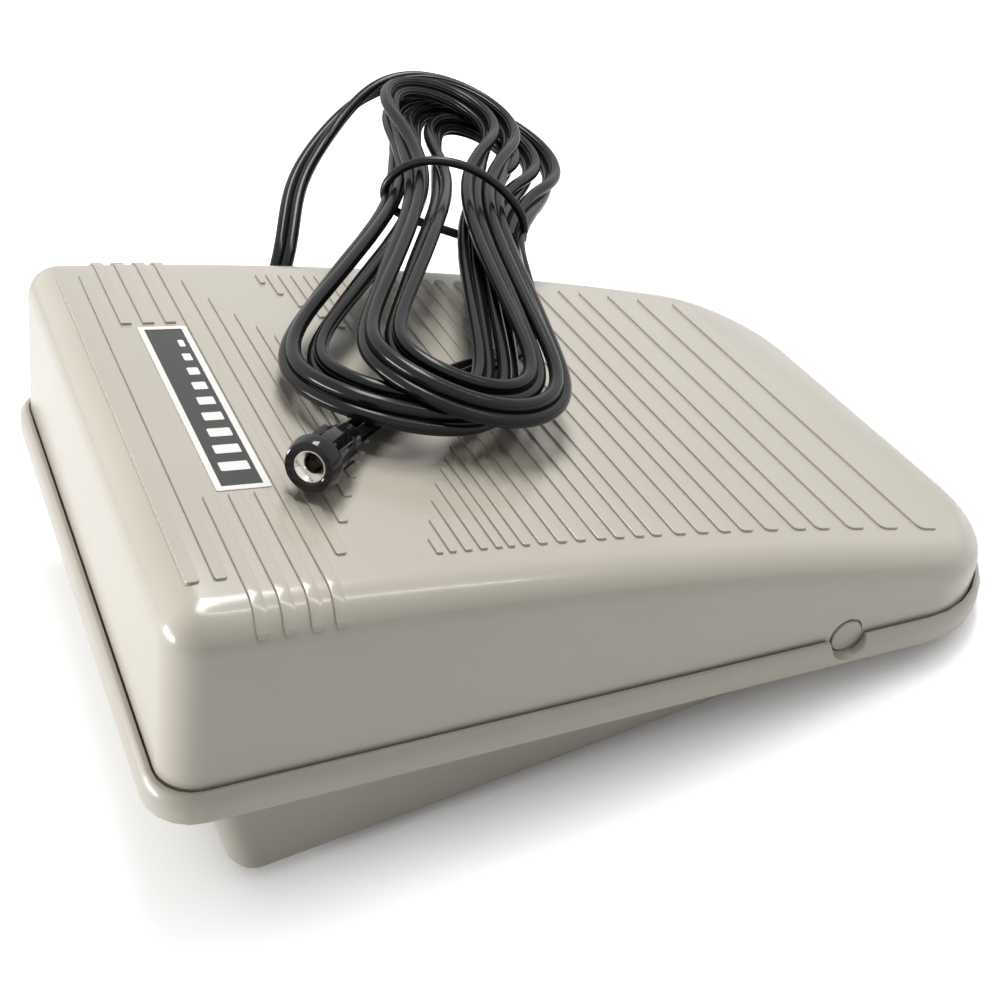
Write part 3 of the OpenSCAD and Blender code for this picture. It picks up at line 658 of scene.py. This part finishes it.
def makeShell():
    v = coverValues
    length, mid = v["toe"] - v["heel"], (v["toe"] + v["heel"]) / 2
    tall = v["height"] - v["foot"]
    piece = addBlock("treadleCover", (0, mid, v["foot"] + tall / 2), (2 * v["halfWidth"], length, tall))
    pick("EDGE", lambda a, b: near(a.y, v["heel"]) and near(b.y, v["heel"]) and near(a.x, b.x))
    roundEdges(v["heelRadius"], v["heelSegments"])
    pick("EDGE", lambda a, b: (near(a.y, v["toe"]) and near(b.y, v["toe"]) and near(a.x, b.x))
         or (near(a.z, v["height"]) and near(b.z, v["height"])))
    roundEdges(v["edgeRadius"], v["edgeSegments"])
    for k in range(1, v["slices"]):
        pickAll()
        bpy.ops.mesh.bisect(plane_co=(0, v["heel"] + length * k / v["slices"], 0), plane_no=(0, 1, 0))
        done()
    for p in piece.data.vertices:
        if p.co.z > 0:
            p.co.z += coverHeight(p.co.y) - v["height"]
    pick("VERT", lambda c: near(c.z, v["foot"]))
    grow = (1 + v["lean"] / v["halfWidth"], 1 + 2 * v["lean"] / length, 1)
    bpy.ops.transform.resize(value=grow, center_override=(0, mid, 0))
    bpy.ops.mesh.select_mode(type="FACE")
    done()
    pick("FACE", lambda c, n: near(c.z, v["foot"]) and n.z < -0.9)
    bpy.ops.mesh.delete(type="FACE")
    done()
    thick = piece.modifiers.new("wall", "SOLIDIFY")
    thick.thickness = v["wall"]
    thick.offset = -1
    thick.use_even_offset = True
    applyAll(piece)
    return piece


def ribWidth(i):
    rows = ribValues["rows"]
    a, b = max(i - 1, 0), min(i + 1, len(rows) - 1)
    return ribValues["share"] * (rows[a] - rows[b]) / (b - a) / 1000


def bandAt(u, r):
    c = ribValues["bandCentre"]
    if abs(u - c[1]) >= r:
        return ribValues["half"]
    return c[0] - math.sqrt(r * r - (u - c[1]) ** 2)


def makeRib(i, x0, x1, wrapped=False):
    w, h = ribWidth(i), ribValues["height"]
    piece = addBlock("rib", ((x0 + x1) / 2, 0, 0), (x1 - x0, w, 2 * h))
    if not wrapped:
        pick("EDGE", lambda a, b: near(a.x, b.x) and near(a.y, b.y))
        roundEdges(w * ribValues["corner"], 7)
    pick("EDGE", lambda a, b: near(a.z, h) and near(b.z, h) and (not wrapped or not near(a.x, b.x)))
    roundEdges(ribValues["round"], 2)
    piece.data.transform(onTop(ribValues["rows"][i] / 1000))
    return piece


def makeWrap(i, side):
    # the rib's section turned about the axis of the rounded edge, thinning out at its end
    w, v = ribWidth(i), ribValues
    h, steps = v["height"], v["wrapSteps"]
    edge = coverValues["halfWidth"] - coverValues["edgeRadius"]
    axis = (side * edge, 0, -coverValues["edgeRadius"])
    piece = addBlock("wrap", (side * (edge - v["wrapFrom"] / 2), 0, 0), (v["wrapFrom"], w, 2 * h))
    pick("EDGE", lambda a, b: near(a.z, h) and near(b.z, h) and not near(a.x, b.x))
    roundEdges(v["round"], 3)
    pick("FACE", lambda c, n: n.x * side > 0.9)
    for k in range(steps):
        bpy.ops.mesh.extrude_region_move(TRANSFORM_OT_translate={"value": (0, 0, 0)})
        bpy.ops.transform.rotate(value=-side * math.radians(v["wrapAngle"]) / steps,
                                 orient_axis="Y", center_override=axis)
        if k == steps - 2:
            bpy.ops.transform.resize(value=(1, v["wrapThin"][0], 1), center_override=axis)
        if k == steps - 1:
            bpy.ops.transform.resize(value=(v["wrapSink"], v["wrapThin"][1], v["wrapSink"]),
                                     center_override=axis)
    done()
    piece.data.transform(onTop(v["rows"][i] / 1000))
    return piece


def ribsOfRow(i):
    v, half = ribValues, ribValues["half"]
    u = v["rows"][i] / 1000
    outer, inner = bandAt(u, v["bandRadii"][0]), min(bandAt(u, v["bandRadii"][1]), half)
    wraps = i in v["wrapRows"]
    edge = coverValues["halfWidth"] - coverValues["edgeRadius"]
    end = edge - v["wrapFrom"] if wraps else half
    made = []
    if plateValues["from"] < u < plateValues["to"] + plateValues["ribGapBehind"]:
        start = plateValues["half"] + plateValues["ribGap"]
        made += [makeRib(i, start, end, wraps), makeRib(i, -end, -start, wraps)]
    elif outer <= 0 or inner >= half:
        made.append(makeRib(i, -end, end, wraps))
    else:
        if inner > v["shortest"]:
            made.append(makeRib(i, -inner, inner))
        if outer < half - v["shortest"]:
            made += [makeRib(i, outer, half), makeRib(i, -half, -outer)]
    if wraps:
        made += [makeWrap(i, 1), makeWrap(i, -1)]
    return made


def makeBoss(x, u, low, high):
    # a screw boss inside the cover, bored from below
    v = bossValues
    bpy.ops.mesh.primitive_cylinder_add(vertices=24, radius=v["across"] / 2, depth=high - low,
                                        location=(x, u, (high + low) / 2))
    piece = named("boss")
    fixPlace(piece)
    pick("FACE", lambda c, n: n.z < -0.9)
    bpy.ops.mesh.inset(thickness=v["across"] * v["wall"])
    bpy.ops.mesh.extrude_region_move(TRANSFORM_OT_translate={"value": (0, 0, v["bore"])})
    done()
    smoothBy(piece, 40)
    return piece


def cutOut(piece, radius, x0, x1):
    # a round hole on the hinge's axis
    bpy.ops.mesh.primitive_cylinder_add(vertices=64, radius=radius, depth=abs(x1 - x0),
                                        location=((x0 + x1) / 2, 0, 0),
                                        rotation=(0, math.pi / 2, 0))
    cutter = named("cutter")
    fixPlace(cutter)
    m = piece.modifiers.new("cut", "BOOLEAN")
    m.operation = "DIFFERENCE"
    m.solver = "EXACT"
    m.object = cutter
    applyAll(piece)
    bpy.data.objects.remove(cutter)


def makeCover():
    shell = makeShell()
    for side in (1, -1):
        for radius, x0, x1 in (pinValues["recess"], pinValues["hole"]):
            cutOut(shell, radius, side * x0, side * x1)
    smoothBy(shell, 30)
    made = []
    for i in range(len(ribValues["rows"])):
        made += ribsOfRow(i)
    for p in made:
        smoothBy(p, 15)
    v, foot = bossValues, coverValues["foot"]
    for x, u in v["drive"]:
        made.append(makeBoss(x, u, v["driveLow"], coverHeight(u) - v["driveInto"]))
    for x, u in v["heel"]:
        made.append(makeBoss(x, u, foot, foot + v["heelTall"]))
    joinTo(shell, made)
    shell.data.transform(treadleFrame)
    return shell


treadleCover = makeCover()
print("cover made,", len(treadleCover.data.polygons), "faces")


def makeBar(k):
    v = plateValues
    tall = v["barTall"] + v["barGrows"] * k
    place = (v["barFirst"] - v["barPitch"] * k, v["barFoot"] + tall / 2, v["proud"] - v["barSunk"])
    bar = addBlock("bar", place, (v["barWidth"], tall, v["barThick"]))
    pick("EDGE", lambda a, b: near(a.x, b.x) and near(a.y, b.y))
    roundEdges(v["barCorner"], 3)
    dress(bar, "plateWhite")
    return bar


def makePlate():
    # a sunk dark field in a white border, with rising bars as a plain sign for more speed
    v = plateValues
    long, wide = 2 * v["half"] - v["play"], v["to"] - v["from"] - v["play"]
    piece = addBlock("namePlate", (0, 0, v["proud"] - v["thick"] / 2), (long, wide, v["thick"]))
    pick("FACE", lambda c, n: n.z > 0.9)
    bpy.ops.mesh.inset(thickness=v["border"])
    bpy.ops.mesh.extrude_region_move(TRANSFORM_OT_translate={"value": (0, 0, -v["fieldDepth"])})
    done()
    pick("EDGE", lambda a, b: near(a.x, b.x) and near(a.y, b.y) and abs(a.x) > long / 2 - 0.0001)
    roundEdges(v["corner"], 4)
    dress(piece, "plateWhite", "plateBlack")
    for f in piece.data.polygons:
        sunk = f.normal.z > 0.9 and f.center.z < v["proud"] - v["fieldDepth"] / 2
        f.material_index = 1 if sunk else 0
    joinTo(piece, [makeBar(k) for k in range(v["bars"])])
    smoothBy(piece, 35)
    piece.data.transform(treadleFrame @ onTop((v["from"] + v["to"]) / 2))
    return piece


namePlate = makePlate()
print("plate made")


def easedCopy(node, name, width, segments=2):
    # a merged copy of the solid with its edges eased
    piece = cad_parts[node].copy()
    piece.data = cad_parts[node].data.copy()
    piece.parent = None
    for key in list(piece.keys()):
        if key.startswith("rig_"):
            del piece[key]
    bpy.context.scene.collection.objects.link(piece)
    piece.matrix_world = Matrix.Identity(4)
    piece.name = name
    piece.data.name = name
    takeUp(piece)
    piece.data.materials.clear()
    pickAll()
    bpy.ops.mesh.remove_doubles(threshold=2e-6)
    bpy.ops.mesh.dissolve_limited(angle_limit=math.radians(0.6))
    done()
    edge = piece.modifiers.new("edge", "BEVEL")
    edge.width = width
    edge.segments = segments
    edge.limit_method = "ANGLE"
    edge.angle_limit = math.radians(38)
    edge.use_clamp_overlap = True
    applyAll(piece)
    smoothBy(piece, 35)
    return piece


def levelHeads(piece):
    # the heads lie nearly level with the skirt
    skirt, proud = pinValues["skirt"], pinValues["proud"]
    for p in piece.data.vertices:
        if abs(p.co.x) > skirt:
            p.co.x = math.copysign(skirt + (abs(p.co.x) - skirt) * proud, p.co.x)


rimBelt = easedCopy("rim", "rimBelt", 0.00025)
trayShell = easedCopy("base_tray", "trayShell", 0.0003)
pinHeads = easedCopy("pivot_pins", "pinHeads", 0.0003, 3)
levelHeads(pinHeads)
footPads = easedCopy("rubber_feet", "footPads", 0.0004, 3)
print("rim, tray, pins and feet finished")

# the plug is drawn upright, its cord's end at the origin, and then laid along its direction
plugTurn = Vector((0, 0, 1)).rotation_difference(plugDir)
plugFrame = Matrix.Translation(plugAt) @ plugTurn.to_matrix().to_4x4()
plugValues = {
    "body": 0.0040, "bore": 0.00305,
    "bodyFoot": 0.0052, "bodyTop": 0.0128,
    "flutes": 6, "fluteSize": (0.0011, 0.0027, 0.0077), "fluteMiddle": 0.0089,
    "fluteIn": 0.0002, "fluteRound": 0.0003,
}


def makeTurned(name, profile, sides=48):
    # a profile of (radius, height) turned about the Z axis, closed on itself
    mesh = bpy.data.meshes.new(name)
    piece = bpy.data.objects.new(name, mesh)
    bpy.context.scene.collection.objects.link(piece)
    n = len(profile)
    mesh.from_pydata([(r, 0, z) for r, z in profile], [(k, (k + 1) % n) for k in range(n)], [])
    takeUp(piece)
    pickAll()
    bpy.ops.mesh.spin(steps=sides, angle=2 * math.pi, center=(0, 0, 0), axis=(0, 0, 1))
    bpy.ops.mesh.select_all(action="SELECT")
    bpy.ops.mesh.remove_doubles(threshold=1e-6)
    bpy.ops.mesh.normals_make_consistent(inside=False)
    done()
    return piece


def makePlugShell():
    # a barrel with a neck that thins towards the cord, and flutes along it
    v = plugValues
    body, bore, foot, top = v["body"], v["bore"], v["bodyFoot"], v["bodyTop"]
    piece = makeTurned("plugShell", [
        (bore, foot), (bore, top), (body, top), (body + 0.0001, foot + 0.0002),
        (body - 0.0003, 0.0047), (0.0034, 0.0026), (0.0030, 0.0012), (0.0029, 0.0001),
        (0.0004, 0.0001), (0.0004, foot)])
    flutes = []
    for k in range(v["flutes"]):
        flute = addBlock("flute", (body - v["fluteIn"], 0, v["fluteMiddle"]), v["fluteSize"])
        pick("EDGE", lambda a, b: a.x > body and b.x > body)
        roundEdges(v["fluteRound"], 3)
        flute.data.transform(Matrix.Rotation(2 * math.pi * k / v["flutes"], 4, "Z"))
        flutes.append(flute)
    joinTo(piece, flutes)
    piece.data.transform(plugFrame)
    smoothBy(piece, 40)
    return piece


def makePlugRing():
    # the collar: a short cone with rounded rims
    bore = plugValues["bore"]
    piece = makeTurned("plugRing", [
        (bore, 0.0130), (0.0048, 0.0130), (0.0051, 0.0132), (0.0052, 0.0135), (0.0052, 0.0139),
        (0.0046, 0.0159), (0.0045, 0.0161), (0.0043, 0.0162), (0.0033, 0.0162), (0.0031, 0.0161),
        (bore, 0.0159)], 64)
    piece.data.transform(plugFrame)
    smoothBy(piece, 24)
    return piece


def makePlugTube():
    # the metal contact, with a cone in its mouth
    piece = makeTurned("plugTube", [
        (0.0015, 0.0070), (0.0030, 0.0068), (0.0030, 0.0157), (0.00292, 0.0158), (0.0027, 0.0158),
        (0.0024, 0.0154), (0.0018, 0.0146), (0.00155, 0.0142), (0.0015, 0.0138)], 64)
    piece.data.transform(plugFrame)
    smoothBy(piece, 40)
    return piece


plugShell = makePlugShell()
plugRing = makePlugRing()
plugTube = makePlugTube()
plugSeat = easedCopy("plug_insulator", "plugSeat", 0.0001)
print("plug made")

reliefValues = {
    "bore": 0.0021, "axis": (0, 0.046, 0.011),
    "rings": 7, "firstRing": 0.0604, "pitch": 0.0027,
    "ringRadius": 0.0045, "taper": 0.00013, "groove": 0.0006,
    "ringShape": (0.00035, 0.0013, 0.00165),    # from the ring's start to its top, its end, the groove
}


def makeRelief():
    # a tapered boot with rings, flanged where it grips the tray's wall
    v = reliefValues
    profile = [(v["bore"], 0.0532), (0.0048, 0.0532), (0.0048, 0.0544), (0.00405, 0.0545),
               (0.00405, 0.0584), (0.0053, 0.0585), (0.0055, 0.0589), (0.0055, 0.0597),
               (0.0052, 0.0600)]
    rise, top, fall = v["ringShape"]
    for k in range(v["rings"]):
        x, r = v["firstRing"] + v["pitch"] * k, v["ringRadius"] - v["taper"] * k
        low = r - v["groove"]
        profile += [(low, x), (r, x + rise), (r, x + top), (low, x + fall)]
    profile += [(0.0034, 0.0797), (0.0032, 0.0799), (v["bore"], 0.0799)]
    piece = makeTurned("reliefBoot", profile, 40)
    piece.data.transform(Matrix.Translation(v["axis"]) @ Matrix.Rotation(math.pi / 2, 4, "Y"))
    smoothBy(piece, 50)
    return piece


reliefBoot = makeRelief()
print("strain relief made")

# each piece with its slot, its body, the nodes it stands for and its finish
for piece, slot, body, node, finish in (
    (pedalCord, "cord_pvc", "base", ("cord_tail", "cord_hank", "cord_end"), "cord"),
    (tieBand, "black_plastic", "base", ("cord_tie",), "tie"),
    (treadleCover, "cover_plastic", "treadle", ("treadle_cover",), "cover"),
    (namePlate, "plate_film", "treadle", ("plate",), ""),      # it has its two finishes already
    (rimBelt, "cover_plastic", "treadle", ("rim",), "belt"),
    (trayShell, "tray_plastic", "base", ("base_tray",), "tray"),
    (pinHeads, "cover_plastic", "base", ("pivot_pins",), "belt"),
    (footPads, "rubber", "base", ("rubber_feet",), "rubber"),
    (plugShell, "black_plastic", "base", ("plug_body",), "plugBlack"),
    (plugRing, "black_plastic", "base", ("plug_collar",), "plugBlack"),
    (plugTube, "nickel", "base", ("plug_contact",), "nickel"),
    (plugSeat, "black_plastic", "base", ("plug_insulator",), "plateBlack"),
    (reliefBoot, "rubber", "base", ("strain_relief",), "boot"),
):
    if finish:
        dress(piece, finish)
    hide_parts(*node)
    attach(piece, body)

for node, finish in {
    "spring_left": "spring", "spring_right": "spring", "stop_buffers": "rubber",
    "circuit_board": "board", "board_screws": "steel", "heat_sink": "aluminium",
    "triac": "plugBlack", "film_capacitor": "orange", "choke_coil": "copper",
    "resistors": "resistor", "terminal_block": "green", "pot_bracket": "steel",
    "bracket_screws": "steel", "potentiometer": "pot", "inner_leads": "lead",
    "cord_clamp": "acetal", "clamp_screws": "steel", "rim_screws": "steel",
    "drive_sector": "acetal", "sector_screws": "steel", "pot_spindle": "steel",
    "pinion": "acetal",
}.items():
    dress(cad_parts[node], finish)
print("finishes given")

floorValues = {
    "colour": (0.93, 0.93, 0.935),
    "glow": (0.58, 0.83),               # near the pedal, and far from it: lower near it, a painted shade round the pedal
    "glowFrom": 0.2, "glowTo": 0.9,
    "paintedShade": 0.026,                   # how near the pedal the painted contact shade reaches, where the glow fades
    "size": 8, "below": 0.0002,
}
skyStrength = 0.21
lampValues = {      # place, what it is aimed at, size and power
    "keyLight": ((0.22, -0.12, 0.72), (0, 0, 0.03), (0.22, 0.5), 4.6),
    "toeLight": ((0.10, 0.80, 0.10), (0, 0.1, 0.03), (0.5, 0.12), 5.4),
    "edgeLight": ((-0.16, -0.27, 0.74), (0, 0, 0.03), (0.03, 0.7), 1.2),
}


def floorPaper():
    # pale paper that glows to the camera, with painted shade round the pedal: the glow is lower near
    # it, and lower still where ambient occlusion finds the pedal close by
    v, n = floorValues, Nodes("floorPaper")
    tone = n.ramp(n.noise(3, 2), [(0.3, shade(v["colour"], 0.995)), (0.7, v["colour"])])
    n.give({"Base Color": tone, "Roughness": 0.85, "Specular IOR Level": 0.15})
    glow = n.add("ShaderNodeEmission")
    glow.inputs["Color"].default_value = (1, 1, 1, 1)
    reach = n.add("ShaderNodeVectorMath", operation="LENGTH")
    n.join(n.place, reach.inputs[0])
    # ambient occlusion takes the glow away under and beside the pedal: painted contact shade on the
    # floor
    paintedShade = n.add("ShaderNodeAmbientOcclusion", samples=16)
    paintedShade.inputs["Distance"].default_value = v["paintedShade"]
    dim = n.add("ShaderNodeMath", operation="MULTIPLY")
    n.join(n.spread(reach.outputs["Value"], v["glowFrom"], v["glowTo"], *v["glow"]), dim.inputs[0])
    n.join(n.spread(paintedShade.outputs["AO"], 0.25, 0.95, 0.1, 1.0), dim.inputs[1])
    n.join(dim.outputs[0], glow.inputs["Strength"])
    both = n.add("ShaderNodeAddShader")
    n.join(n.shader.outputs["BSDF"], both.inputs[0])
    n.join(glow.outputs["Emission"], both.inputs[1])
    sight = n.add("ShaderNodeLightPath")
    seen = n.add("ShaderNodeMixShader")
    n.join(sight.outputs["Is Camera Ray"], seen.inputs["Fac"])
    n.join(n.shader.outputs["BSDF"], seen.inputs[1])
    n.join(both.outputs["Shader"], seen.inputs[2])
    n.join(seen.outputs["Shader"], n.tree.nodes["Material Output"].inputs["Surface"])
    return n.mat


def studioSky():
    # white to the camera and in reflections, and a soft light on the pedal
    world = bpy.data.worlds.new("studio")
    world.use_nodes = True
    tree = world.node_tree
    sky = tree.nodes["Background"]
    sky.inputs["Color"].default_value = (1, 1, 1, 1)
    sight = tree.nodes.new("ShaderNodeLightPath")
    either = tree.nodes.new("ShaderNodeMath")
    either.operation = "MAXIMUM"
    tree.links.new(sight.outputs["Is Camera Ray"], either.inputs[0])
    tree.links.new(sight.outputs["Is Glossy Ray"], either.inputs[1])
    level = tree.nodes.new("ShaderNodeMapRange")
    level.inputs["To Min"].default_value = skyStrength
    level.inputs["To Max"].default_value = 1.0
    tree.links.new(either.outputs[0], level.inputs["Value"])
    tree.links.new(level.outputs["Result"], sky.inputs["Strength"])
    return world


def softLight(name, place, target, size, power):
    bpy.ops.object.light_add(type="AREA", location=place)
    lamp = named(name)
    lamp.data.shape = "RECTANGLE"
    lamp.data.size, lamp.data.size_y = size
    lamp.data.energy = power
    lamp.rotation_euler = (Vector(target) - Vector(place)).to_track_quat("-Z", "Y").to_euler()


bpy.ops.mesh.primitive_plane_add(size=floorValues["size"], location=(0, 0, -floorValues["below"]))
floor = named("floor")
floor.data.materials.append(floorPaper())
bpy.context.scene.world = studioSky()
for name, lampValue in lampValues.items():
    softLight(name, *lampValue)
bpy.context.scene.view_settings.view_transform = "Standard"
print("floor, sky and lamps placed")
